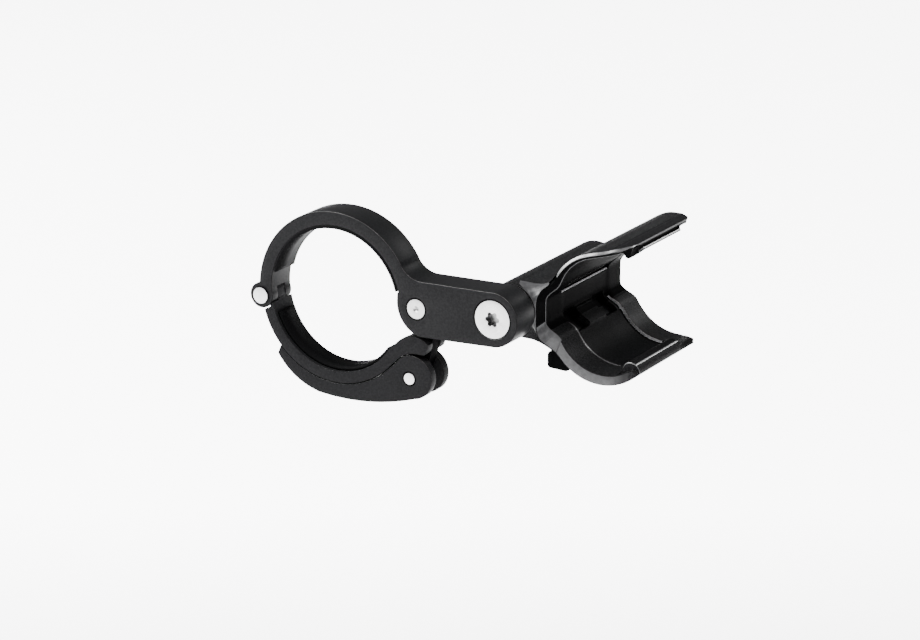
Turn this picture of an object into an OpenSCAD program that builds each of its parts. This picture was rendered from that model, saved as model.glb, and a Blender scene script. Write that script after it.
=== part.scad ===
// Handlebar light mount: hinged bar clamp with a cam lever and a tilting C-shaped light cradle.
// Y runs along the handlebar, X points forward to the cradle, Z is up.
// The origin is the centre of the bar clamp in the middle of its plates.

/* [Bar clamp] */
// Radius of the handlebar that the liners close on, mm
bar_r = 17.5; // [15.5:0.1:17.6]
// Thickness of the liner strips, mm
liner_t = 0.8; // [0.6:0.1:0.8]
// Outer radius of the hook, mm
hook_r = 21.7; // [21.3:0.1:22]
// Outer radius of the lower jaw's band, mm
jaw_r = 21.1; // [20.8:0.1:21.1]
// Width of the clamp plates along the bar, mm
plate_w = 8.5; // [8.5:0.1:9]
// Width of the strip in the lower jaw, mm
jaw_strip_w = 6.5; // [5:0.1:7]

/* [Arm] */
// Distance from the bar's centre to the tilt bolt, mm
bolt_x = 43.5; // [43:0.1:44]
// Height of the tilt bolt over the bar's centre, mm
bolt_z = 1.5; // [1.2:0.1:1.8]
// Radius of the bolt's head, mm
head_r = 4.7; // [4.2:0.1:4.9]
// Radius of the bolt's shank, mm
shank_r = 2.5; // [2:0.1:2.5]

/* [Cam lever] */
// Radius of the pin that the link hangs from, mm
link_pin_r = 2.5; // [2:0.1:2.5]
// Radius of the pin through the lever's head, mm
cam_pin_r = 1.5; // [1.2:0.1:1.6]
// Radius of the round cam head, mm
cam_r = 5.4; // [5.2:0.05:5.4]
// Offset of the cam head from its pin, mm
cam_off = 0.9; // [0.5:0.05:0.9]
// Direction of that offset above straight forward, degrees
cam_dir = 30; // [20:1:35]
// Width of the lever, mm
lever_w = 8.3; // [7.6:0.1:8.4]
// Width of the link between the lever's cheeks, mm
link_w = 3.6; // [3:0.1:3.7]

/* [Cradle] */
// Near end of the cradle's shell, mm
shell_y0 = 8.2; // [8:0.1:9]
// Far end of the cradle's shell, mm
shell_y1 = 47.2; // [44:0.1:48]
// Radius of the barrel on the tilt bolt's axis, mm
barrel_r = 6.5; // [6:0.1:6.6]
// Far tip of the tongue, mm
tongue_y = 52.3; // [50:0.1:54]
// Depth of the recess inside the shell, mm
recess_d = 0.7; // [0.4:0.1:0.9]

/* [Hidden] */
hw = plate_w / 2;
ring_r = bar_r + liner_t;
hinge = [-21.2, -2.2];
hinge_r = 3.2;
link_pin = [22.7, 0.9];
cam_pin = [20.7, -16.9];
slot_h = link_w / 2 + 0.15;
run = 0.06;
$fn = 72;

// Points on an arc in the XZ plane
function arc(c, r, a0, a1, n = 24) =
    [for (i = [0:n]) let (a = a0 + (a1 - a0) * i / n) [c[0] + r * cos(a), c[1] + r * sin(a)]];

// A plate along Y from a shape drawn in X and Z
module slab(y0, y1) translate([0, y1, 0]) rotate([90, 0, 0]) linear_extrude(height = y1 - y0) children();

// A cylinder along Y
module rod(r, y0, y1, c = [0, 0]) translate([c[0], y1, c[1]]) rotate([90, 0, 0]) cylinder(r = r, h = y1 - y0);

// ---------- bar clamp ----------

// Side view of the hook and its forward arm
module hook_shape() polygon(concat(
    arc([0, 0], hook_r, 186, 31, 60),
    arc([24.2, 14.3], 6.5, 211, 268, 12),
    arc([bolt_x, bolt_z - 0.1], 6.7, 96, -90, 30),
    [[26, -5.85]],
    arc([25.5, 2], 8.1, 256, 176, 16),
    [[17.5, 4.15]],
    arc([0, 0], ring_r, 13.6, 186, 60)));

module upper_clamp() color([0.09, 0.09, 0.1]) difference() {
    union() {
        slab(-hw, hw) hook_shape();
        rod(hinge_r, -hw, hw, hinge);
    }
    // room for the jaw's knuckle
    rod(hinge_r + 0.35, -1.7, 1.7, hinge);
    rod(1.53, -hw - 1, hw + 1, hinge);
    // slot for the link, open below and ahead
    rod(3.3, -slot_h, slot_h, link_pin);
    slab(-slot_h, slot_h) polygon([[19.4, 0.9], [27.6, 0.9], [33, -8], [17.4, -8], [17.4, -3]]);
    rod(link_pin_r + 0.03, -hw - 1, hw + 1, link_pin);
    // bolt head and shank
    rod(head_r + 0.2, -hw - 1, -hw + 3, [bolt_x, bolt_z]);
    rod(shank_r + run, -hw, hw + 1, [bolt_x, bolt_z]);
}

// A strip on the inside of the clamp, between two angles
module strip(w, a0, a1, r_out) intersection() {
    difference() {
        rod(r_out, -w / 2, w / 2);
        rod(bar_r, -w / 2 - 1, w / 2 + 1);
    }
    slab(-w, w) polygon(concat([[0, 0]], arc([0, 0], 26, a0, a1, 12)));
}

module upper_liner() color([0.04, 0.04, 0.045]) strip(plate_w, 14.5, 166, ring_r - 0.02);

module lower_liner() color([0.04, 0.04, 0.045]) strip(jaw_strip_w, 200, 324, ring_r - 0.02);

// Side view of the lower jaw with its nose over the cam
module jaw_shape() polygon(concat(
    arc([0, 0], jaw_r, 190, 316.5, 56),
    arc([22.8, -18.25], 7.9, 140, 92, 12),
    [[24.8, -10.35], [25.5, -9.7], [25.9, -8.6]],
    arc([21.9, -12.3], 6.15, 48, 139, 16),
    [[15.4, -9.9], [14.6, -9.6]],
    arc([0, 0], ring_r - 1, 325, 190, 40)));

module lower_jaw() color([0.08, 0.08, 0.09]) difference() {
    union() {
        slab(-hw, hw) jaw_shape();
        rod(hinge_r, -1.6, 1.6, hinge);
    }
    // room for the hook's two ears
    rod(hinge_r + 0.35, 1.6, hw + 1, hinge);
    rod(hinge_r + 0.35, -hw - 1, -1.6, hinge);
    rod(1.5 + run, -3, 3, hinge);
    // slot for the link, open at the front of the nose
    slab(-slot_h, slot_h) polygon([[16.2, -16], [17.4, -12.6], [17.4, -5.8], [28, -5.8], [28, -16]]);
    // round inside for the strip and the bar
    rod(ring_r, -hw - 1, hw + 1);
}

module hinge_pin() color([0.75, 0.75, 0.77]) union() {
    rod(1.5, -hw - 0.3, hw + 0.3, hinge);
    rod(2.1, -hw - 0.55, -hw - 0.05, hinge);
    rod(2.1, hw + 0.05, hw + 0.55, hinge);
}

// ---------- cam lever and its link ----------

// Side view of the link: its middle bows forward, clear of the jaw
module link_shape() {
    hull() { translate([24.1, -6]) circle(r = 1.9, $fn = 32); translate([23.3, -10.5]) circle(r = 2, $fn = 32); }
    hull() { translate([24.1, -6]) circle(r = 1.9, $fn = 32); translate(link_pin) circle(r = 2.6, $fn = 32); }
    hull() { translate([23.3, -10.5]) circle(r = 2, $fn = 32); translate(cam_pin) circle(r = 2.3, $fn = 32); }
}

module swing_link() color([0.12, 0.12, 0.13]) difference() {
    union() {
        slab(-link_w / 2, link_w / 2) link_shape();
        rod(2.95, -link_w / 2, link_w / 2, link_pin);
        rod(2.6, -link_w / 2, link_w / 2, cam_pin);
    }
    rod(link_pin_r + run, -3, 3, link_pin);
    rod(cam_pin_r + 0.03, -3, 3, cam_pin);
}

module link_pin_part() color([0.8, 0.8, 0.82]) difference() {
    rod(link_pin_r, -hw, hw, link_pin);
    // turned centre in the visible end
    translate([link_pin[0], -hw - 0.01, link_pin[1]]) rotate([-90, 0, 0]) cylinder(r1 = 0.8, r2 = 0.1, h = 0.7);
}

// Side view of the lever: hugs the jaw, thins out towards the tail
module lever_shape() polygon(concat(
    arc([0, 0], jaw_r + 0.3, 222, 314.5, 46),
    [[15.6, -14.7], [16.9, -13.5], [21, -13.5], [25, -18]],
    arc([3, 35.1], 60.05, -70.2, -97.9, 20),
    arc([-1.04, -6.1], 18.7, 256, 213, 16)));

module cam_lever() color([0.08, 0.08, 0.09]) difference() {
    union() {
        slab(-lever_w / 2, lever_w / 2) lever_shape();
        rod(cam_r, -lever_w / 2, lever_w / 2, cam_pin + cam_off * [cos(cam_dir), sin(cam_dir)]);
    }
    // slot between the cheeks for the link, open at the top, the front and the bottom
    rod(3.5, -slot_h, slot_h, cam_pin);
    slab(-slot_h, slot_h) polygon([[17.6, -9], [17.4, -17.4], [18.2, -26], [29, -26], [29, -9]]);
    rod(cam_pin_r + run, -lever_w, lever_w, cam_pin);
}

module cam_pin_part() color([0.8, 0.8, 0.82]) rod(cam_pin_r, -lever_w / 2 - 0.05, lever_w / 2 + 0.05, cam_pin);

// ---------- cradle ----------

// Outside of the shell in side view, with the mouth left closed
module shell_outer(d = 0) polygon(concat(
    arc([65.7, -0.4], 14.2 - d, -46, -146, 40),
    arc([53.2, -3], 4.7 - d, 215, 180, 6),
    arc([53.5, 3.4], 5 - d, 180, 118, 8),
    arc([65.5, 3.6], 13.95 - d, 156, 99, 24),
    [[70.4, 18.45 - d], [70.4, 5]]));

// Inside of the shell; grow makes it larger for the recess
module shell_inner(grow = 0) polygon(concat(
    [[82, -9.4 + 3]],
    arc([66.5, 0.7], 12.8 + grow, -44, -152, 44),
    arc([54.9, -1.6], 4 + grow, 232, 180, 8),
    arc([54.2, 3.4], 3.3 + grow, 180, 118, 8),
    arc([64.2, 4.3], 10.4 + grow, 150, 106, 20),
    [[62.2, 15.8 + grow], [72, 16.9 + grow], [82, 17]]));

// Bead on the lip: a rounded ridge that faces into the cradle
module lip_bead() polygon(concat(
    [[66.8, -12.3], [69.9, -10.2]],
    arc([72.6, -9.6], 1.5, 150, 90, 5),
    arc([74.2, -9.6], 1.5, 90, 10, 8),
    [[75.7, -10.6], [73, -12.6]]));

// Plan view of everything that is not cut away at the far lip and the tongue
module plan_keep() union() {
    polygon([[30, 0], [75.75, 0], [75.75, 31.5], [75.1, 37.5], [73.4, 41.5], [70.9, 44.9], [67.6, shell_y1 + 0.05], [30, shell_y1 + 0.05]]);
    polygon(concat([[54, 20], [70.4, 20]], arc([66.9, tongue_y - 8.7], 3.5, 0, 38, 6),
        arc([54.5, tongue_y - 18.5], 19.3, 40, 72, 12), arc([60, tongue_y - 1.8], 1.8, 75, 175, 8),
        [[57.8, shell_y1], [54, shell_y1]]));
}

module roof_shape() intersection() {
    difference() { shell_outer(); shell_inner(); }
    translate([57.5, 10]) square([14, 10]);
}

module cradle() color([0.1, 0.1, 0.105]) difference() {
    union() {
        difference() {
            intersection() {
                union() {
                    // C-shaped shell
                    slab(shell_y0, shell_y1) difference() { shell_outer(); shell_inner(); }
                    slab(shell_y0 + 1, 32) intersection() { lip_bead(); union() { shell_outer(); translate([66, -13]) square([9.75, 6]); } }
                    // tongue that carries the roof past the shell
                    slab(shell_y1 - 1, tongue_y) roof_shape();
                    // rib under the roof's front edge
                    slab(12, 41) polygon([[67, 16.4], [70.4, 16.9], [70.4, 15.9], [69, 15.5]]);
                    // small block under the shell at its near end
                    slab(9, 13) polygon([[51.2, -8], [51.2, -12.3], [52.2, -13], [56.5, -13], [58, -11]]);
                }
                linear_extrude(height = 60, center = true) plan_keep();
            }
            // rounded near corner of the roof
            translate([0, 0, 12]) linear_extrude(height = 10) polygon(concat([[76, 0], [76, 18.2]], arc([60.4, 18.2], 10, 0, -90, 14), [[60.4, 0]]));
            // recess along the inside, between the two rims
            slab(17.3, 39.5) intersection() {
                difference() { shell_inner(recess_d); shell_inner(-1); }
                polygon([[66.8, -20], [66.8, 0], [49, 4.1], [40, 4.1], [40, -20]]);
            }
            // slot above the back wall's ledge
            slab(16.5, 40.5) polygon([[52.5, 4], [50.1, 4.2], [49.9, 5.6], [51.3, 6.9], [54.2, 9.2], [56, 8.4]]);
            // pockets either side of the catch
            slab(18.2, 23.4) polygon([[52, -2], [49.9, -2.2], [50.3, -4.2], [53, -5.9], [55.6, -5.6]]);
            slab(32.8, 38.2) polygon([[52, -2], [49.9, -2.2], [50.3, -4.2], [53, -5.9], [55.6, -5.6]]);
        }
        // catch between the pockets
        slab(23.9, 32.3) polygon([[50, -2.4], [51.9, -2.1], [53, -3], [55.6, -5.7], [54.2, -6.6], [50, -5]]);
        // barrel on the tilt axis
        rod(barrel_r, 4.9, 48.2, [bolt_x, bolt_z]);
        translate([bolt_x, 48.2, bolt_z]) rotate([-90, 0, 0]) cylinder(r1 = barrel_r, r2 = barrel_r - 1.8, h = 1.8);
        // neck from the barrel to the near end of the shell
        intersection() {
            hull() {
                rod(barrel_r, 4.9, 5.3, [bolt_x, bolt_z], $fn = 32);
                slab(shell_y0 + 0.2, shell_y0 + 0.8) polygon([[46, 8], [50.4, 7], [52.6, 9.2], [53, 2], [54, -7], [50, -6.5], [46, -5]]);
            }
            slab(4.9, 12) difference() { translate([36, -10]) square([20, 24]); shell_inner(); }
        }
        slab(6.4, 13) difference() {
            polygon(concat([[bolt_x, bolt_z + barrel_r - 0.1]], arc([47.8, 13.8], 6, 255, 290, 8),
                [[50.5, 2]], arc([46.8, -13.4], 8.1, 60, 92, 8), [[bolt_x, bolt_z - barrel_r + 0.1]]));
            shell_inner();
        }
    }
    // hole for the bolt and its thread insert
    rod(3.63, 4, 17.2, [bolt_x, bolt_z]);
    rod(shank_r + run, 4, 22, [bolt_x, bolt_z]);
}

// ---------- tilt bolt ----------

module tilt_bolt() color([0.85, 0.85, 0.87]) difference() {
    union() {
        rod(head_r, -hw + 0.05, -hw + 2.9, [bolt_x, bolt_z]);
        rod(shank_r, -hw + 2.8, 16.5, [bolt_x, bolt_z]);
    }
    // six-lobed socket
    for (i = [0:5]) translate([bolt_x, -hw - 0.1, bolt_z]) rotate([-90, 0, 0]) rotate([0, 0, i * 60])
        translate([1.35, 0, 0]) cylinder(r = 0.55, h = 2, $fn = 24);
    rod(1.45, -hw - 0.1, -hw + 1.9, [bolt_x, bolt_z]);
}

module thread_insert() color([0.78, 0.62, 0.3]) difference() {
    rod(3.6, 5.2, 17, [bolt_x, bolt_z]);
    rod(shank_r + 0.03, 4, 18, [bolt_x, bolt_z]);
}

module thrust_washer() color([0.05, 0.05, 0.05]) difference() {
    rod(6, hw + 0.06, hw + 0.56, [bolt_x, bolt_z]);
    rod(shank_r + run, 4, 6, [bolt_x, bolt_z]);
}

upper_clamp();
upper_liner();
lower_jaw();
lower_liner();
hinge_pin();
swing_link();
link_pin_part();  // link_pin
cam_lever();
cam_pin_part();  // cam_pin
cradle();
tilt_bolt();
thread_insert();
thrust_washer();
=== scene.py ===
import bpy, bmesh, math
import numpy as np
from math import radians, sin, cos, pi
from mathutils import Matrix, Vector


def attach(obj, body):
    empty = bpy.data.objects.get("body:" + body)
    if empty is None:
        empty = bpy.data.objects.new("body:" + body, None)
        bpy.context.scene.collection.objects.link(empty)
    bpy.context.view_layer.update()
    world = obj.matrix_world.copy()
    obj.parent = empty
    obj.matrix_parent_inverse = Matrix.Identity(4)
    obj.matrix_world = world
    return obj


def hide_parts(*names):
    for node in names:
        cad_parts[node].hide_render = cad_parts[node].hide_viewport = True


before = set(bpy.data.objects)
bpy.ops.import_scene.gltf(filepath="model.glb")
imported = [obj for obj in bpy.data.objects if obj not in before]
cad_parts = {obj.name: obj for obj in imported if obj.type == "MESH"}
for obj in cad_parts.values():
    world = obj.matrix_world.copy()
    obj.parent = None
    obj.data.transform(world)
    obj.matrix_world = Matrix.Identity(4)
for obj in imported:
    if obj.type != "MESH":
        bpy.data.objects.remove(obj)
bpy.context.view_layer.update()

MM = 0.001

# ---------------------------------------------------------------- helpers


def node_tree(name):
    mat = bpy.data.materials.new(name)
    mat.use_nodes = True
    nt = mat.node_tree
    for n in list(nt.nodes):
        nt.nodes.remove(n)
    out = nt.nodes.new("ShaderNodeOutputMaterial")
    bsdf = nt.nodes.new("ShaderNodeBsdfPrincipled")
    nt.links.new(bsdf.outputs["BSDF"], out.inputs["Surface"])
    return mat, nt, bsdf


def coords(nt):
    return nt.nodes.new("ShaderNodeTexCoord").outputs["Object"]


def noise(nt, vec, scale, detail=4.0, rough=0.55):
    n = nt.nodes.new("ShaderNodeTexNoise")
    n.inputs["Scale"].default_value = scale
    n.inputs["Detail"].default_value = detail
    n.inputs["Roughness"].default_value = rough
    nt.links.new(vec, n.inputs["Vector"])
    return n.outputs["Fac"]


def ramp(nt, fac, stops):
    r = nt.nodes.new("ShaderNodeValToRGB")
    els = r.color_ramp.elements
    while len(els) > 1:
        els.remove(els[-1])
    for i, (p, c) in enumerate(stops):
        e = els[0] if i == 0 else els.new(p)
        e.position = p
        e.color = (c, c, c, 1) if not hasattr(c, "__len__") else (*c, 1)
    nt.links.new(fac, r.inputs["Fac"])
    return r.outputs["Color"]


def mixval(nt, a, b, fac):
    m = nt.nodes.new("ShaderNodeMix")
    m.data_type = "FLOAT"
    nt.links.new(fac, m.inputs[0])
    for i, v in ((2, a), (3, b)):
        if hasattr(v, "node"):
            nt.links.new(v, m.inputs[i])
        else:
            m.inputs[i].default_value = v
    return m.outputs[0]


def bump(nt, bsdf, height, strength, distance):
    b = nt.nodes.new("ShaderNodeBump")
    b.inputs["Strength"].default_value = strength
    b.inputs["Distance"].default_value = distance
    nt.links.new(height, b.inputs["Height"])
    nt.links.new(b.outputs["Normal"], bsdf.inputs["Normal"])
    return b


def axis_distance(nt, v, centre):
    """Distance in mm from an axis along Y through centre (X and Z in mm)."""
    sep = nt.nodes.new("ShaderNodeSeparateXYZ")
    nt.links.new(v, sep.inputs["Vector"])
    comb = nt.nodes.new("ShaderNodeCombineXYZ")
    nt.links.new(sep.outputs["X"], comb.inputs["X"])
    nt.links.new(sep.outputs["Z"], comb.inputs["Z"])
    d = nt.nodes.new("ShaderNodeVectorMath")
    d.operation = "DISTANCE"
    nt.links.new(comb.outputs["Vector"], d.inputs[0])
    d.inputs[1].default_value = (centre[0] * MM, 0, centre[1] * MM)
    m = nt.nodes.new("ShaderNodeMath")
    m.operation = "MULTIPLY"
    m.inputs[1].default_value = 1000.0
    nt.links.new(d.outputs["Value"], m.inputs[0])
    return m.outputs["Value"]


def times(nt, a, b):
    m = nt.nodes.new("ShaderNodeMath")
    m.operation = "MULTIPLY"
    for i, v in enumerate((a, b)):
        if hasattr(v, "node"):
            nt.links.new(v, m.inputs[i])
        else:
            m.inputs[i].default_value = v
    return m.outputs["Value"]


def past(nt, val, lo, hi, a=0.0, b=1.0):
    r = nt.nodes.new("ShaderNodeMapRange")
    nt.links.new(val, r.inputs["Value"])
    for k, x in (("From Min", lo), ("From Max", hi), ("To Min", a), ("To Max", b)):
        r.inputs[k].default_value = x
    return r.outputs["Result"]


def scaled(nt, col, fac):
    m = nt.nodes.new("ShaderNodeVectorMath")
    m.operation = "SCALE"
    nt.links.new(col, m.inputs[0])
    nt.links.new(fac, m.inputs["Scale"])
    return m.outputs["Vector"]


def edge_highlight_coat(name, dark, light, rough=0.28, spec=0.6):
    """Rounded edge with a painted highlight: lighter and glossier where it faces up, a little uneven."""
    mat, nt, b = node_tree(name)
    tc = nt.nodes.new("ShaderNodeTexCoord")
    sep = nt.nodes.new("ShaderNodeSeparateXYZ")
    nt.links.new(tc.outputs["Normal"], sep.inputs["Vector"])
    # painted highlight: the base colour goes from dark to light as the edge turns to face up
    up = times(nt, past(nt, sep.outputs["Z"], 0.1, 0.5), past(nt, noise(nt, tc.outputs["Object"], 900.0), 0.25, 0.6, 0.6, 1.0))
    nt.links.new(ramp(nt, up, [(0.0, dark), (1.0, light)]), b.inputs["Base Color"])
    b.inputs["Specular IOR Level"].default_value = spec * 0.5
    nt.links.new(times(nt, up, spec), b.inputs["Specular IOR Level"])
    b.inputs["Roughness"].default_value = rough
    return mat


def black_coat(name, base, rough, grain=2200.0, amount=0.25, spec=0.2, rings=(), fade=None):
    """Fine satin black coat over metal: a tight grain, slight patches of gloss."""
    mat, nt, b = node_tree(name)
    v = coords(nt)
    fine = noise(nt, v, grain, 3.0, 0.6)
    broad = noise(nt, v, 60.0, 3.0, 0.5)
    lo, hi = [c * 0.8 for c in base], [c * 1.25 for c in base]
    colour = ramp(nt, fine, [(0.35, lo), (0.65, hi)])
    nt.links.new(ramp(nt, broad, [(0.3, rough - 0.05), (0.7, rough + 0.05)]), b.inputs["Roughness"])
    b.inputs["Metallic"].default_value = 0.0
    b.inputs["IOR"].default_value = 1.5
    b.inputs["Specular IOR Level"].default_value = spec
    if rings:
        # painted shade: the unlit gap round each pin, as a dark ring
        keep = None
        for cx, cz, r in rings:
            k = past(nt, axis_distance(nt, v, (cx, cz)), r - 0.06, r + 0.06)
            keep = k if keep is None else times(nt, keep, k)
        colour = scaled(nt, colour, keep)
        nt.links.new(times(nt, keep, spec), b.inputs["Specular IOR Level"])
    # painted light falls off along X: colour and gloss scale down to 0.3 over the fade span
    if fade:
        sep = nt.nodes.new("ShaderNodeSeparateXYZ")
        nt.links.new(v, sep.inputs["Vector"])
        k = past(nt, sep.outputs["X"], fade[0] * MM, fade[1] * MM, 1.0, 0.3)
        colour = scaled(nt, colour, k)
        nt.links.new(times(nt, k, spec), b.inputs["Specular IOR Level"])
    nt.links.new(colour, b.inputs["Base Color"])
    bump(nt, b, fine, amount, 0.00003)
    return mat


def plastic(name, base, rough, spec=0.25, grain=0.5):
    mat, nt, b = node_tree(name)
    v = coords(nt)
    fine = noise(nt, v, 3100.0, 2.5, 0.55)
    broad = noise(nt, v, 45.0, 3.0, 0.5)
    lo, hi = [c * 0.22 for c in base], [c * 2.4 for c in base]
    b.inputs["Specular IOR Level"].default_value = spec
    nt.links.new(ramp(nt, fine, [(0.34, lo), (0.68, hi)]), b.inputs["Base Color"])
    nt.links.new(ramp(nt, broad, [(0.3, rough - 0.05), (0.7, rough + 0.07)]), b.inputs["Roughness"])
    b.inputs["IOR"].default_value = 1.52
    bump(nt, b, fine, grain, 0.00006)
    return mat


def steel(name, base, rough, centre=None, rim=None, face=None):
    """Bright turned steel: rings round the pin's axis."""
    mat, nt, b = node_tree(name)
    v = coords(nt)
    if centre is not None:
        mp = nt.nodes.new("ShaderNodeMapping")
        mp.inputs["Location"].default_value = (-centre[0], 0, -centre[1])
        nt.links.new(v, mp.inputs["Vector"])
        sep = nt.nodes.new("ShaderNodeSeparateXYZ")
        nt.links.new(mp.outputs["Vector"], sep.inputs["Vector"])
        comb = nt.nodes.new("ShaderNodeCombineXYZ")
        nt.links.new(sep.outputs["X"], comb.inputs["X"])
        nt.links.new(sep.outputs["Z"], comb.inputs["Z"])
        ln = nt.nodes.new("ShaderNodeVectorMath")
        ln.operation = "LENGTH"
        nt.links.new(comb.outputs["Vector"], ln.inputs[0])
        c2 = nt.nodes.new("ShaderNodeCombineXYZ")
        nt.links.new(ln.outputs["Value"], c2.inputs["X"])
        v2 = c2.outputs["Vector"]
    else:
        v2 = v
    rings = noise(nt, v2, 9000.0, 2.0, 0.6)
    spots = noise(nt, v, 700.0, 3.0, 0.6)
    colour = ramp(nt, spots, [(0.3, [c * 0.9 for c in base]), (0.7, base)])
    # painted shade: the colour falls nearly to black past the rim radius, a dark ring round the head's edge
    if rim:
        colour = scaled(nt, colour, past(nt, axis_distance(nt, v, (centre[0] / MM, centre[1] / MM)), rim - 0.03, rim + 0.05, 1.0, 0.01))
    if face:
        # painted shade: darker down in the socket
        deep = nt.nodes.new("ShaderNodeSeparateXYZ")
        nt.links.new(v, deep.inputs["Vector"])
        colour = scaled(nt, colour, past(nt, deep.outputs["Y"], (face + 0.12) * MM, (face + 0.4) * MM, 1.0, 0.4))
    nt.links.new(colour, b.inputs["Base Color"])
    nt.links.new(ramp(nt, rings, [(0.3, rough - 0.06), (0.7, rough + 0.08)]), b.inputs["Roughness"])
    b.inputs["Metallic"].default_value = 1.0
    bump(nt, b, rings, 0.25, 0.00002)
    return mat


def rubber(name, base, rough=0.6):
    mat, nt, b = node_tree(name)
    v = coords(nt)
    fine = noise(nt, v, 1200.0, 4.0, 0.6)
    nt.links.new(ramp(nt, fine, [(0.3, [c * 0.8 for c in base]), (0.7, [c * 1.2 for c in base])]), b.inputs["Base Color"])
    nt.links.new(ramp(nt, noise(nt, v, 80.0), [(0.3, rough - 0.05), (0.7, rough + 0.05)]), b.inputs["Roughness"])
    b.inputs["Specular IOR Level"].default_value = 0.02
    bump(nt, b, fine, 0.3, 0.00004)
    return mat


def dress(node, mat, bevel=0.0, segments=3, angle=30.0, edge=None):
    """Rounded edges and smooth shading on a CAD node, by modifiers only."""
    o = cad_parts[node]
    me = o.data
    if "custom_normal" in me.attributes:
        me.attributes.remove(me.attributes["custom_normal"])
    for p in me.polygons:
        p.use_smooth = True
    w = o.modifiers.new("weld", "WELD")
    w.merge_threshold = 0.000003
    if bevel:
        b = o.modifiers.new("bevel", "BEVEL")
        b.width = bevel * MM
        b.segments = segments
        b.limit_method = "ANGLE"
        b.angle_limit = radians(angle)
        b.harden_normals = False
        b.use_clamp_overlap = True
    me.materials.clear()
    me.materials.append(mat)
    if edge:
        me.materials.append(edge)
        b.material = 1
    for e in me.edges:
        e.use_edge_sharp = False
    return o


# ---------------------------------------------------------------- materials

# the rings paint shade round the bolt and the link pin on the hook, and round the cam pin on the lever
coat_hook = black_coat("clamp_coat", (0.0088, 0.0088, 0.0093), 0.42, spec=0.03, rings=((43.5, 1.5, 5.03), (22.7, 0.9, 2.8)))
coat_jaw = black_coat("jaw_coat", (0.009, 0.009, 0.0095), 0.42, spec=0.012)
coat_lever = black_coat("lever_coat", (0.009, 0.009, 0.0095), 0.42, spec=0.012, rings=((20.7, -16.9, 1.85),))
# painted shade: the link, down in the slot between the lever's cheeks, takes a much darker copy of the black coat
coat_link = black_coat("link_shaded_coat", (0.001, 0.001, 0.0011), 0.55, spec=0.003)
# painted highlight on the clamp's rounded edges that face up, laid on the bevel faces
clamp_edge_highlight = edge_highlight_coat("clamp_edge_highlight", 0.004, 0.03)
# Copies of the cradle's plastic in other tones, each but the first painting light or shade: the smooth copy (also
# smoother) and the floor copy are darker, painted shade; the rim copy is lighter, a painted reflection on the near band
# and neck that fades along X; the far copy is lighter, painted light on the far rim; the edge copy and the two line
# copies are painted highlights.
cradle_mat = plastic("cradle_plastic", (0.0068, 0.0068, 0.0071), 0.45, 0.015)
cradle_smooth_shaded = black_coat("cradle_smooth_shaded", (0.0012, 0.0012, 0.0013), 0.5, 900.0, 0.1, 0.004)
cradle_rim_reflection = black_coat("cradle_rim_reflection", (0.036, 0.036, 0.0375), 0.36, 900.0, 0.1, 0.25, fade=(67.5, 71.8))
cradle_floor_shaded = plastic("cradle_floor_shaded", (0.0042, 0.0042, 0.0045), 0.5, 0.02, 0.6)
cradle_edge_highlight = black_coat("cradle_edge_highlight", (0.07, 0.07, 0.072), 0.26, 900.0, 0.05, 1.0)
cradle_far_lit = plastic("cradle_far_lit", (0.0095, 0.0095, 0.01), 0.45, 0.05)
cradle_highlight_line = black_coat("cradle_highlight_line", (0.3, 0.3, 0.31), 0.4, 900.0, 0.05, 0.5)
cradle_inner_highlight_line = black_coat("cradle_inner_highlight_line", (0.035, 0.035, 0.037), 0.45, 900.0, 0.05, 0.3)
strip_mat = rubber("strip_rubber", (0.002, 0.002, 0.0022))
washer_mat = rubber("washer_plastic", (0.008, 0.008, 0.008), 0.5)
bolt_mat = steel("bolt_steel", (0.56, 0.56, 0.56), 0.3, (43.5 * MM, 1.5 * MM), 4.6, -4.25)
link_pin_mat = steel("link_pin_steel", (0.5, 0.5, 0.5), 0.32, (22.7 * MM, 0.9 * MM), 2.38)
cam_pin_mat = steel("cam_pin_steel", (0.6, 0.6, 0.6), 0.32, (20.7 * MM, -16.9 * MM), 1.4)
hinge_pin_mat = steel("hinge_pin_steel", (0.6, 0.6, 0.6), 0.32, (-21.2 * MM, -2.2 * MM), 2.0)
brass_mat = steel("insert_brass", (0.7, 0.5, 0.22), 0.35, (43.5 * MM, 1.5 * MM))

dress("upper_clamp", coat_hook, 0.28, edge=clamp_edge_highlight)
dress("lower_jaw", coat_jaw, 0.2, edge=clamp_edge_highlight)
dress("cam_lever", coat_lever, 0.22, edge=clamp_edge_highlight)
dress("swing_link", coat_link, 0.2)
dress("upper_liner", strip_mat, 0.0)
dress("lower_liner", strip_mat, 0.0)
dress("hinge_pin", hinge_pin_mat, 0.1)
dress("link_pin", link_pin_mat, 0.1)
dress("cam_pin", cam_pin_mat, 0.1)
dress("tilt_bolt", bolt_mat, 0.12)
dress("thread_insert", brass_mat)
dress("thrust_washer", washer_mat)

# ---------------------------------------------------------------- cradle
# The moulded cradle in detail: a C-shaped shell on its barrel, in mm.


def arc(c, r, a0, a1, n):
    t = np.radians(np.linspace(a0, a1, n))
    return np.c_[c[0] + r * np.cos(t), c[1] + r * np.sin(t)]


def even(pts, n):
    """n points at even steps along a line through pts."""
    pts = np.asarray(pts, float)
    d = np.r_[0, np.cumsum(np.hypot(*np.diff(pts, axis=0).T))]
    t = np.linspace(0, d[-1], n)
    return np.c_[np.interp(t, d, pts[:, 0]), np.interp(t, d, pts[:, 1])]


def relax(pts, times):
    p = pts.copy()
    for _ in range(times):
        p[1:-1] = 0.25 * p[:-2] + 0.5 * p[1:-1] + 0.25 * p[2:]
    return p


def step(x, at, width):
    t = np.clip((np.asarray(x, float) - at) / width + 0.5, 0, 1)
    return t * t * (3 - 2 * t)


def span(x, lo, hi, width):
    return step(x, lo, width) * (1 - step(x, hi, width))


def normals(p):
    t = np.gradient(p, axis=0)
    n = np.c_[t[:, 1], -t[:, 0]]
    return n / np.maximum(np.hypot(n[:, 0], n[:, 1])[:, None], 1e-9)


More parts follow.
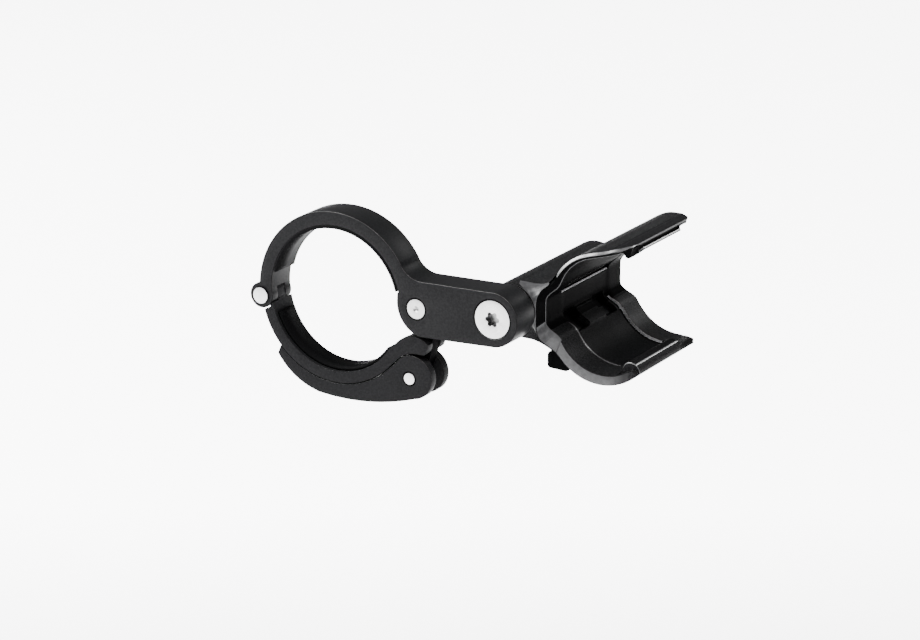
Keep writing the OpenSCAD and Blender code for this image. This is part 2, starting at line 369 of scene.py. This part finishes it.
class Builder:
    def __init__(self):
        self.v, self.f, self.m = [], [], []

    def grid(self, P, mat=0, wrap_u=False, wrap_v=False, flip=False):
        """A surface through a grid of points P[u][v]."""
        nu, nv = P.shape[:2]
        base = len(self.v)
        self.v.extend(map(tuple, P.reshape(-1, 3)))
        for i in range(nu - (0 if wrap_u else 1)):
            for j in range(nv - (0 if wrap_v else 1)):
                a, b = base + i * nv + j, base + ((i + 1) % nu) * nv + j
                c, d = base + ((i + 1) % nu) * nv + (j + 1) % nv, base + i * nv + (j + 1) % nv
                self.f.append((a, d, c, b) if flip else (a, b, c, d))
                self.m.append(mat if np.isscalar(mat) else int(mat[i][j]))

    def object(self, name, mats, merge=0.004, angle=32.0):
        bm = bmesh.new()
        vs = [bm.verts.new((x * MM, y * MM, z * MM)) for x, y, z in self.v]
        for f, m in zip(self.f, self.m):
            try:
                q = bm.faces.new([vs[i] for i in f])
                q.material_index = m
                q.smooth = True
            except ValueError:
                pass
        bmesh.ops.remove_doubles(bm, verts=bm.verts, dist=merge * MM)
        bmesh.ops.dissolve_degenerate(bm, edges=bm.edges, dist=merge * MM)
        bmesh.ops.recalc_face_normals(bm, faces=bm.faces)
        me = bpy.data.meshes.new(name)
        bm.to_mesh(me)
        bm.free()
        for m in mats:
            me.materials.append(m)
        me.set_sharp_from_angle(angle=radians(angle))
        o = bpy.data.objects.new(name, me)
        bpy.context.scene.collection.objects.link(o)
        return o


def shell_sections():
    """Inside and outside of the C in side view, point by point from the lip to the roof's front."""
    segs = [
        # lip
        (44, [(75.3, -10.5), (75.15, -9.95), (74.5, -9.55), (73.7, -9.75), (72.6, -10.3), (71, -11.12), (69.5, -11.73)],
         [(75.72, -10.45), (75.6, -9.7), (75.15, -8.95), (74.5, -8.35), (73.4, -8.0), (72.4, -8.1), (71.75, -8.6), (71.2, -9.6), (70.5, -10.95), (69.5, -11.73)],
         arc((65.7, -0.4), 14.2, -46, -73, 30)),
        # bottom
        (72, arc((66.5, 0.73), 12.8, -76.4, -152, 60), None, arc((65.7, -0.4), 14.2, -73, -146, 60)),
        # lower knee
        (26, [(55.2, -5.28), (54.6, -4.5), (53.7, -3.9), (52.4, -3.2), (51.4, -2.4), (51, -1.9), (50.9, -1.3)], None,
         np.vstack([[(53.93, -8.34)], arc((53.2, -3), 4.7, 232, 180, 12)])),
        # back wall
        (16, [(50.9, -1.3), (50.9, 3.9)], None, [(48.5, -3), (48.5, 3.4)]),
        # upper knee
        (32, [(50.9, 3.9), (51, 4.35), (51.5, 5.2), (52.3, 5.95), (53.1, 6.6), (53.9, 7.25), (54.6, 8.2), (55.1, 9.3)],
         [(50.9, 3.9), (50.8, 4.08), (50.15, 4.15), (50.0, 4.6), (50.95, 5.15), (51.5, 5.6), (52.3, 6.2), (53.1, 6.8), (53.9, 7.4), (54.6, 8.3), (55.1, 9.3)],
         [(48.5, 3.4), (48.95, 4.8), (49.6, 6.1), (50.4, 6.9), (51.2, 7.5), (52, 8.2), (52.55, 9), (53.42, 10.58)]),
        # arch and roof
        (84, [(55.1, 9.3), (56.0, 11.1), (57.4, 12.9), (59.2, 14.4), (61.2, 15.4), (63.4, 15.95), (66, 16.3), (68.3, 16.6)], None,
         np.vstack([arc((65.5, 3.6), 13.95, 150, 99, 40), [(66.9, 18.1), (69.6, 18.38)]])),
        # roof's front edge with its rib
        (26, [(68.3, 16.6), (68.7, 16.15), (69.3, 15.9), (70.1, 15.92), (70.32, 16.05), (70.32, 16.25), (70.05, 16.55), (69.6, 16.7), (69.45, 17.0), (69.5, 17.4), (70.2, 17.68), (70.38, 17.85)], None,
         [(69.6, 18.38), (70.15, 18.4), (70.34, 18.28), (70.4, 18.05)]),
    ]
    inner, bead, outer, tag = [], [], [], []
    for k, (n, a, b, c) in enumerate(segs):
        pa, pc = even(a, n), even(c, n)
        pb = even(b, n) if b is not None else pa
        cut = slice(0, n) if k == len(segs) - 1 else slice(0, n - 1)
        inner.append(pa[cut]); bead.append(pb[cut]); outer.append(pc[cut])
        tag.append(np.full(len(pa[cut]), k))
    inner, bead, outer, tag = map(np.concatenate, (inner, bead, outer, tag))
    outer = relax(outer, 3)
    k = np.where(tag == 2)[0]
    outer[k[0] - 12:k[-1] - 8] = relax(outer[k[0] - 12:k[-1] - 8], 30)
    return relax(inner, 3), relax(bead, 2), outer, tag


def cradle_shell(B):
    inner, alt, outer, tag = shell_sections()
    N = len(inner)
    nin, nout = normals(inner), normals(outer)
    # normals point into the plastic from the hollow, and out of the plastic outside
    if nin[60] @ (outer[60] - inner[60]) < 0:
        nin = -nin
    if nout[60] @ (outer[60] - inner[60]) < 0:
        nout = -nout
    ox, oz = outer[:, 0], outer[:, 1]
    top = (tag >= 5)
    # where each point's line starts and stops along Y
    y_near = np.full(N, 8.2)
    k = top & (ox > 60.4)
    y_near[k] = 18.2 - np.sqrt(np.maximum(100 - (np.minimum(ox[k], 70.4) - 60.4) ** 2, 0))
    tipx = [53, 57.2, 57.8, 58.2, 59.0, 60.2, 61.6, 63.9, 66.5, 68.6, 69.6, 70.3, 70.41]
    tipy = [47.2, 47.2, 49.6, 51.2, 52.05, 52.25, 51.8, 50.7, 48.9, 46.9, 45.7, 44.3, 43.6]
    y_far = np.full(N, 47.2)
    y_far[top] = np.interp(ox[top], tipx, tipy)
    low = tag <= 1
    lx = [54, 57, 60, 65.5, 68.3, 70.4, 73.0, 74.6, 75.3, 75.76]
    ly = [48.1, 48.1, 47.8, 47.2, 46.5, 45.0, 42.0, 40.2, 38.9, 31.8]
    y_far[low] = np.interp(np.maximum(ox, inner[:, 0])[low], lx, ly)
    y_far[tag == 2] = np.linspace(48.1, 47.2, int((tag == 2).sum()))
    nominal = np.r_[8.75, 8.95, 9.02, 9.1, 9.24, 9.32, 9.45, 9.8, np.arange(10.6, 16.0, 0.9), 16.2, 16.34, 16.46, 16.7,
                    17.0, 17.14, 17.3, 17.46, 17.6, 17.9, 18.08, 18.16, 18.24, 18.32, 18.5, 19, 19.8, 20.6, 21.4, 22.2, 22.9, 23.2,
                    23.34, 23.46, 23.6, 23.8, 23.92, 24.04, 24.3, np.arange(25.0, 30.9, 0.85), 31.0, 31.08, 31.2, 31.3, 31.42, 31.9, 32.16,
                    32.28, 32.4, 32.6, 32.72, 32.84, 32.98, 33.3, 34.1, 34.9, 35.7, 36.5, 37.3, 37.9, 38.08, 38.2, 38.34,
                    38.7, 39.1, 39.3, 39.42, 39.54, 39.66, 39.85, 40.2, 40.34, 40.46, 40.7, 41.4, 42.3, 43.2, 44.1, 45, 45.8, 46.4, 46.8]
    M = len(nominal)
    Y = np.empty((N, M))
    for i in range(N):
        n0, f0 = y_near[i] + 0.55, y_far[i] - 0.4
        if tag[i] <= 1:
            Y[i] = np.interp(nominal, [8.75, 31.3, 46.8], [n0, 31.3, max(f0, 31.4)])
        else:
            mid0 = max(16.0, y_near[i] + 1.4)
            Y[i] = np.interp(nominal, [8.75, 16.0, 40.6, 46.8], [n0, mid0, min(40.6, f0 - 0.6), f0])
    # inside, with the recess, pockets, catch, slot and bead
    d = np.zeros((N, M))
    ix, iz = inner[:, 0], inner[:, 1]
    s_rec = ((tag == 1) | (tag == 2)).astype(float) * (1 - step(ix, 66.7, 0.35))
    s_rec[(tag == 3) | ((tag == 4) & (iz < 4.1))] = 0.3
    ease = np.convolve(np.pad(s_rec, 3, mode="edge"), np.ones(7) / 7, mode="valid")
    s_rec = np.where((tag >= 2) & (tag <= 4), ease, s_rec)
    on_wall = step(iz, -3.0, 2.0)[:, None] * (tag >= 2)[:, None]
    d += 0.7 * s_rec[:, None] * ((step(nominal, 17.3, 0.34) * (1 - step(nominal, 39.58, 0.8)))[None] * (1 - on_wall) + span(nominal, 17.3, 40.2, 2.4)[None] * on_wall)
    d -= 0.09 * s_rec[:, None] * np.exp(-((nominal - 17.12) / 0.14) ** 2)[None] * (1 - on_wall)
    s_poc = ((tag == 2) | (tag == 3)) * step(iz, -5.15, 0.5) * (1 - step(iz, -1.6, 0.3))
    d += 1.25 * s_poc[:, None] * (span(nominal, 18.2, 23.42, 0.16) + span(nominal, 32.8, 38.16, 0.16))[None]
    d -= 0.45 * s_poc[:, None] * span(nominal, 23.94, 32.3, 0.16)[None]
    P_in = inner[:, None, :] + nin[:, None, :] * d[:, :, None]
    m_bead = span(nominal, 9.28, 31.12, 0.14)
    m_slot = span(nominal, 16.4, 40.4, 0.16)
    is_lip, is_knee = (tag == 0).astype(float), (tag == 4).astype(float)
    w = is_lip[:, None] * m_bead[None] + is_knee[:, None] * m_slot[None]
    P_in = P_in + w[:, :, None] * (alt - inner)[:, None, :]
    # the lip is thinner past the bead
    thin_lip = np.array([np.interp(ix, [69.5, 71, 72.6, 73.7, 74.6, 75.1, 75.4], [-11.73, -11.2, -10.68, -10.4, -10.3, -10.4, -10.6]) - iz]).T
    P_in[:, :, 1] += thin_lip * is_lip[:, None] * step(nominal, 35.0, 6.0)[None]
    # the roof's front edge is thin at its near corner and past the rib
    fx, fz = inner[tag == 6][:, 0], inner[tag == 6][:, 1]
    thin = even([(68.3, 16.6), (69.3, 16.85), (70.0, 17.2), (70.3, 17.55), (70.38, 17.85)], int((tag == 6).sum()))
    w6 = 1 - (0.85 + 0.15 * step(Y[tag == 6], 19.0, 4.0)) * (1 - step(Y[tag == 6], 41.0, 0.5))
    P_in[tag == 6] += w6[:, :, None] * (thin - inner[tag == 6])[:, None, :]
    # the rib runs back and down into the roof's corner
    back = np.sin(np.pi * np.clip(np.arange(int((tag == 6).sum())) / 19.0, 0, 1))[:, None] * (1 - step(Y[tag == 6], 19.8, 4.8))
    P_in[tag == 6] += back[:, :, None] * np.array([-0.75, -0.95])[None, None, :]
    # narrow slits at both ends of the bead
    slit = (span(nominal, 9.05, 9.26, 0.06) + span(nominal, 31.14, 31.34, 0.06))[None] * (is_lip * step(np.arange(N), 6, 6))[:, None]
    P_in = P_in + nin[:, None, :] * (0.45 * slit)[:, :, None]
    P_out = np.repeat(outer[:, None, :], M, axis=1)
    # a fine line along the roof where it turns flat
    line = np.exp(-((ox - 66.9) / 0.22) ** 2) * (tag == 5)
    P_out = P_out - nout[:, None, :] * (0.1 * line[:, None] * span(nominal, 10.5, 42.5, 1.0)[None])[:, :, None]
    ring = []
    # near edge outside: rounded, wide over the arch and the roof
    r_n = np.where(oz > 10, 0.72, np.where(oz > 6, 0.3 + 0.42 * np.clip((oz - 6) / 4, 0, 1), 0.22))
    r_n = np.where(tag == 6, 0.34, r_n)
    r_n = np.convolve(np.pad(r_n, 4, mode="edge"), np.ones(9) / 9, mode="valid")
    # the rim leans forward along the barrel's side
    lean = 2.9 * np.where((tag >= 1) & (tag <= 4), step(oz, -6.2, 4.5) * (1 - step(oz, 7.4, 5.0)), 0)
    shift = np.c_[0.51 * lean, 0.334 * lean]
    y_rim = y_near - lean
    # a flat 45 degree edge with both its corners eased, from the end face to the outside
    for fi, fd in ((1, 0), (0.86, 0.03), (0.74, 0.1), (0.68, 0.16), (0.16, 0.68), (0.1, 0.74), (0.03, 0.86), (0, 1)):
        ins, dy = r_n * fi, r_n * fd
        p = outer + shift - nout * ins[:, None]
        ring.append(np.c_[p[:, 0], y_rim + dy, p[:, 1]])
    blend = np.exp(-((nominal - 8.75) / 0.9))
    for j in range(M):
        p = P_out[:, j] + shift * (blend[j] if j < 10 else 0)
        ring.append(np.c_[p[:, 0], Y[:, j] - lean * (blend[j] if j < 10 else 0), p[:, 1]])
    r_f = 0.35
    for t in np.linspace(0, 90, 5)[1:]:
        a = radians(t)
        p = outer - nout * r_f * (1 - cos(a))
        ring.append(np.c_[p[:, 0], y_far - r_f + r_f * sin(a), p[:, 1]])
    n_out = len(ring)
    for t in np.linspace(90, 0, 4)[:-1]:
        a = radians(t)
        r = 0.25
        p = P_in[:, M - 1] + nin * r * (1 - cos(a))
        ring.append(np.c_[p[:, 0], y_far - r + r * sin(a), p[:, 1]])
    for j in range(M - 1, -1, -1):
        p = P_in[:, j]
        ring.append(np.c_[p[:, 0], Y[:, j], p[:, 1]])
    # near edge inside: the end face slopes in to the wall and the arch
    y_in = y_near + np.where(tag >= 2, 0.45, 0.12)
    for t in np.linspace(0, 90, 4)[1:]:
        a = radians(t)
        r = 0.16
        p = P_in[:, 0] + nin * r * (1 - cos(a))
        ring.append(np.c_[p[:, 0], y_in + r * (1 - sin(a)), p[:, 1]])
    G = np.stack(ring, axis=1)
    K = G.shape[1]
    # material 1, smooth and darkened by painted shade: the near end face, its rounded edge and the back wall; 0:
    # grained
    mats = np.zeros((N, K), int)
    mats[:, K - 1] = 1
    mats[:, K - 2] = 1
    # painted reflection: the lower band of the near end face takes the lighter rim material
    low_band = (tag <= 2) & (oz < -2.5)
    mats[low_band, K - 1] = 2
    mats[(tag == 0) & (ix > 73.2), K - 1] = 0
    # painted highlights along the inside near edge, along the outside near edge over the arch and roof, and at the
    # roof's tip; painted shade on the arch's outside
    mats[(tag >= 2) & (tag <= 5), K - 4:K - 1] = 7
    mats[tag == 5, 8:n_out - 4] = 3
    mats[tag == 6, 8:n_out - 4] = np.where(outer[tag == 6][:, 0] > 70.2, 7, 3)[:, None]
    mats[:, :7] = np.where(low_band, 0, np.where(tag >= 5, 4, 1))[:, None]
    inner_cols = np.arange(n_out + 3, K - 3)
    yn = nominal[::-1]
    # painted shade: the recess floor takes the darker floor material, the walls and the arch's inside the dark smooth
    # one
    floor_s = (tag == 1) & (ix < 66.7) | (tag == 2) & (iz <= -3.2)
    floor_y = n_out + 3 + np.where((yn > 17.3) & (yn < 39.4))[0]
    mats[np.ix_(floor_s, floor_y)] = 3
    wall = (tag == 3) | ((tag == 4)) | ((tag == 2) & (iz > -3.2))
    mats[np.ix_(wall, inner_cols)] = 1
    arch_in = (tag == 5)
    mats[np.ix_(arch_in, inner_cols)] = 1
    # painted highlights in lighter, glossier materials: the step at the recess's far end, the wall's top edge, the
    # rib's front and the bead's ends; the rib's underside in painted shade
    far_step = n_out + 3 + np.where((yn > 39.5) & (yn < 40.0))[0]
    mats[np.ix_(((tag == 1) & (ix < 66.6)) | ((tag == 2) & (iz < -2.6)), far_step)] = 6
    near_step = n_out + 3 + np.where((yn > 16.95) & (yn < 17.2))[0]
    mats[np.ix_((tag == 1) & (ix < 66.7) | ((tag == 2) & (iz < -3.4)), near_step)] = 4
    ledge = (tag == 4) & (np.arange(N) < np.where(tag == 4)[0][0] + 2) | (tag == 3) & (iz > 3.6)
    ledge_y = n_out + 3 + np.where((yn > 16.5) & (yn < 40.3))[0]
    mats[np.ix_(ledge, ledge_y)] = 6
    first6 = np.where(tag == 6)[0][0]
    rib_y = n_out + 3 + np.where(yn < 42.4)[0]
    mats[np.ix_(np.arange(first6 + 2, N - 1), rib_y)] = 1
    mats[np.ix_(np.arange(first6 + 13, first6 + 15), n_out + 3 + np.where((yn > 18.3) & (yn < 40.8))[0])] = 4
    mats[tag == 6, K - 5:] = 1
    upper_lip = (tag == 4) & (alt[:, 1] > 4.95) & (alt[:, 1] < 5.3)
    mats[np.ix_(upper_lip, ledge_y)] = 7
    # the bead: painted shade on top, a thin painted highlight along its front and round its ends
    bead_y = n_out + 3 + np.where((yn > 9.3) & (yn < 31.1))[0]
    bx = alt[:, 0]
    mats[np.ix_((tag == 0) & (bx < 74.75) & (np.arange(N) > 8), bead_y)] = 3
    mats[np.ix_((tag == 0) & (bx > 74.55) & (bx < 74.8), bead_y)] = 4
    caps = n_out + 3 + np.where(((yn > 9.2) & (yn < 9.4)) | ((yn > 31.1) & (yn < 31.25)))[0]
    mats[np.ix_((tag == 0) & (ix > 71), caps)] = 3
    ends = n_out + 3 + np.where(((yn > 9.4) & (yn < 9.5)) | ((yn > 31.05) & (yn < 31.1)) | ((yn > 8.98) & (yn < 9.05)) | ((yn > 31.4) & (yn < 31.5)))[0]
    mats[np.ix_((tag == 0) & (ix > 71), ends)] = 4
    # painted light: the far rim takes the lighter far material
    far_rim = n_out + 3 + np.where(yn > 39.95)[0]
    mats[np.ix_((tag == 1) | ((tag == 2) & (iz < -3.6)), far_rim)] = 5
    B.grid(G, mat=mats, wrap_v=True)
    # close the lip's and the roof's front, between outside and inside
    for i in (0, N - 1):
        o_side = G[i, :n_out]
        i_side = G[i, n_out:][::-1]
        t = np.linspace(0, 1, len(o_side))
        ti = np.interp(t, np.linspace(0, 1, len(i_side)), np.arange(len(i_side)))
        m = min(len(o_side), len(i_side))
        # pair the two sides by their place along Y
        pair = np.stack([o_side, np.stack([np.interp(o_side[:, 1], np.maximum.accumulate(i_side[:, 1]), i_side[:, c]) for c in range(3)], axis=1)])
        B.grid(pair, mat=0)


def cradle_barrel(B):
    c = (43.5, 1.5)
    prof = [(2.7, 4.92), (6.1, 4.92), (6.3, 4.98), (6.42, 5.15), (6.48, 5.5), (6.5, 6.0)]
    prof += [(6.5, y) for y in np.arange(7, 47.5, 1.5)]
    prof += [(6.5 - 2.3 * (1 - cos(radians(t))), 47.6 + 2.35 * sin(radians(t))) for t in range(0, 91, 9)]
    prof += [(3.0, 49.98), (0.0, 49.98)]
    phi = np.radians(np.arange(0, 360, 3.0))
    P = np.array([[(c[0] + r * cos(a), y, c[1] + r * sin(a)) for a in phi] for r, y in prof])
    B.grid(P, mat=0, wrap_v=True)


def cradle_webs(B):
    """Fillets between the barrel and the shell, above and below, and the neck at the near end."""
    top = relax(even([(43.5, 7.98), (46, 7.95), (48, 7.88), (49.6, 7.95), (50.8, 8.2), (51.8, 8.65), (52.55, 9.35), (53.2, 10.3), (53.7, 11.1)], 40), 3)
    low = np.vstack([arc((46.8, -13.4), 8.1, 40, 88, 16), [(45.2, -5.05), (43.5, -4.98)]])
    ys = np.r_[8.35, 8.6, 9.2, np.arange(10.5, 46, 2.5), 46.6]
    def near_low(x):
        return np.interp(x, [44, 47, 50, 51.6, 53.2], [5.6, 6.0, 6.7, 7.3, 8.35])

    P = np.array([[(x, y, z) for y in ys] for x, z in even(top, 28)])
    B.grid(P, mat=0)
    P = np.array([[(x, y, z) for y in np.r_[near_low(x), ys[2:]]] for x, z in even(low, 28)])
    B.grid(P, mat=0)
    # neck: from the barrel's round end out to the shell's near rim
    inner, alt, outer, tag = shell_sections()
    oz = outer[:, 1]
    lean = 2.9 * np.where((tag >= 1) & (tag <= 4), step(oz, -6.2, 4.5) * (1 - step(oz, 7.4, 5.0)), 0)
    rim = np.c_[outer[:, 0] + 0.51 * lean, 8.2 - lean, oz + 0.334 * lean]
    pick = (tag >= 1) & (tag <= 5) & (oz > -7.4) & (oz < 8.3) & (outer[:, 0] < 54.2)
    rim = rim[pick][::-1]                       # from the arch down to the bottom
    up = [(x, 8.35, z) for x, z in even(top, 28) if x < 52.0]
    dn = [(x, near_low(x), z) for x, z in even(low, 28) if x < 51.6]
    rim = np.vstack([up, rim, dn])
    s = np.r_[0, np.cumsum(np.linalg.norm(np.diff(rim, axis=0), axis=1))]
    a_up, a_dn = s[len(up) - 1] / s[-1], s[-len(dn)] / s[-1]
    n = 110
    t = np.linspace(0, 1, n)
    line = np.stack([np.interp(t * s[-1], s, rim[:, k]) for k in range(3)], axis=1)
    line[1:-1] = 0.25 * line[:-2] + 0.5 * line[1:-1] + 0.25 * line[2:]
    phi = np.radians(np.interp(t, [0, a_up, a_dn, 1], [90, 52, -50, -90]))
    circ = np.c_[43.5 + 6.42 * np.cos(phi), np.full(n, 5.1), 1.5 + 6.42 * np.sin(phi)]
    rows = []
    for u in np.linspace(0, 1, 14):
        b = u ** 1.7
        p = circ + (line - circ) * b
        p[:, 1] = circ[:, 1] + (line[:, 1] - circ[:, 1]) * u
        rows.append(p)
    # painted reflection: the neck's upper part takes the lighter rim material, its underside the grained one
    under = np.where(np.degrees(phi) < -30, 0, 2)
    B.grid(np.stack(rows), mat=np.tile(under, (14, 1)))


def cradle_block(B):
    """The small block under the shell at its near end."""
    line = np.vstack([[(53.5, -7.2)], arc((51.9, -9.6), 0.9, 120, 180, 5), arc((51.9, -12.0), 0.9, 180, 255, 6),
                      arc((56.0, -12.4), 0.7, 265, 320, 4), [(58.4, -11.4)]])
    line = even(line, 26)
    nrm = normals(line)
    c = line.mean(axis=0)
    if nrm[10] @ (line[10] - c) < 0:
        nrm = -nrm
    rows = []
    for t in (90, 60, 30, 0):
        a = radians(t)
        rows.append(np.c_[line - nrm * 0.5 * (1 - cos(a)), np.full(26, 9.0 + 0.5 * (1 - sin(a)))][:, [0, 2, 1]])
    for y in (10.5, 12.0):
        rows.append(np.c_[line, np.full(26, y)][:, [0, 2, 1]])
    for t in (0, 30, 60, 90):
        a = radians(t)
        rows.append(np.c_[line - nrm * 0.5 * (1 - cos(a)), np.full(26, 13.0 - 0.5 * (1 - sin(a)))][:, [0, 2, 1]])
    first = np.repeat((rows[0].mean(axis=0) + np.array([1.0, 0, 1.0]))[None], 26, axis=0)
    last = np.repeat((rows[-1].mean(axis=0) + np.array([1.0, 0, 1.0]))[None], 26, axis=0)
    # painted shade: the block takes the dark smooth material
    B.grid(np.stack([first] + rows + [last]), mat=1)


B = Builder()
cradle_shell(B)
cradle_barrel(B)
cradle_webs(B)
cradle_block(B)
shell = B.object("cradle_moulding", [cradle_mat, cradle_smooth_shaded, cradle_rim_reflection, cradle_floor_shaded, cradle_edge_highlight, cradle_far_lit, cradle_highlight_line, cradle_inner_highlight_line])
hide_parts("cradle")
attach(shell, "cradle")

# painted shade: a thin dark strip under the jaw, filling the gap over the lever where it lies in shade
G = Builder()
rows = []
for ang in np.linspace(286, 315.5, 24):
    a = radians(ang)
    rows.append([(r * cos(a), y, r * sin(a)) for r, y in ((21.0, -3.9), (21.24, -3.9), (21.24, -1.2), (21.0, -1.2))])
G.grid(np.array(rows), wrap_v=True)
G.f += [tuple(range(4)), tuple(range(4 * 23, 4 * 24))[::-1]]
G.m += [0, 0]
strip = G.object("jaw_gap_shade_strip", [strip_mat])
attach(strip, "jaw")

# ---------------------------------------------------------------- stage


def plane(name, size, z):
    me = bpy.data.meshes.new(name)
    s = size / 2
    me.from_pydata([(-s, -s, z), (s, -s, z), (s, s, z), (-s, s, z)], [], [(0, 1, 2, 3)])
    o = bpy.data.objects.new(name, me)
    bpy.context.scene.collection.objects.link(o)
    return o


floor = plane("floor", 6.0, -0.12)
mat, nt, b = node_tree("floor_paper")
nt.links.new(ramp(nt, noise(nt, coords(nt), 30.0), [(0.3, (0.9, 0.9, 0.9)), (0.7, (0.93, 0.93, 0.93))]), b.inputs["Base Color"])
b.inputs["Roughness"].default_value = 0.9
b.inputs["Emission Color"].default_value = (1, 1, 1, 1)
# painted light: the floor itself glows, brighter behind the object, where the picture shows it
sep = nt.nodes.new("ShaderNodeSeparateXYZ")
nt.links.new(coords(nt), sep.inputs["Vector"])
away = nt.nodes.new("ShaderNodeMath")
away.operation = "MULTIPLY_ADD"
away.inputs[1].default_value = -0.577
nt.links.new(sep.outputs["X"], away.inputs[0])
nt.links.new(sep.outputs["Y"], away.inputs[2])
glow = times(nt, past(nt, away.outputs["Value"], 0.02, 0.2, 3.0, 6.5), past(nt, away.outputs["Value"], 1.15, 2.2, 1.0, 0.4))
nt.links.new(glow, b.inputs["Emission Strength"])
floor.data.materials.append(mat)

world = bpy.data.worlds.new("studio")
bpy.context.scene.world = world
world.use_nodes = True
world.node_tree.nodes["Background"].inputs["Color"].default_value = (1, 1, 1, 1)
world.node_tree.nodes["Background"].inputs["Strength"].default_value = 0.3


def area(name, loc, target, size, power, color=(1, 1, 1)):
    d = bpy.data.lights.new(name, "AREA")
    d.energy = power
    d.size = size
    d.color = color
    o = bpy.data.objects.new(name, d)
    bpy.context.scene.collection.objects.link(o)
    o.location = loc
    o.rotation_euler = (Vector(target) - Vector(loc)).to_track_quat("-Z", "Y").to_euler()
    return o


area("key", (-0.42, -0.32, 0.85), (0.05, 0.02, 0), 0.4, 14.0)
area("left", (-0.85, -0.05, 0.45), (0.05, 0.02, 0), 0.5, 22.0)
area("front", (-0.4, -0.68, 0.42), (0.06, 0.03, 0), 0.3, 4.0)
area("back", (0.4, 0.88, 0.5), (0.06, 0.03, 0), 0.25, 4.0)
area("top", (0.34, -0.22, 0.9), (0.06, 0.03, 0), 0.35, 6.0)

cam_data = bpy.data.cameras.new("cam")
cam = bpy.data.objects.new("cam", cam_data)
bpy.context.scene.collection.objects.link(cam)
cam.location = (0.4117, -0.6565, 0.2343)
cam.rotation_euler = (radians(90 - 17.27), 0, radians(30.02))
cam_data.lens = 130.73
cam_data.sensor_width = 36.0
cam_data.clip_start = 0.01
cam_data.clip_end = 50.0
bpy.context.scene.camera = cam
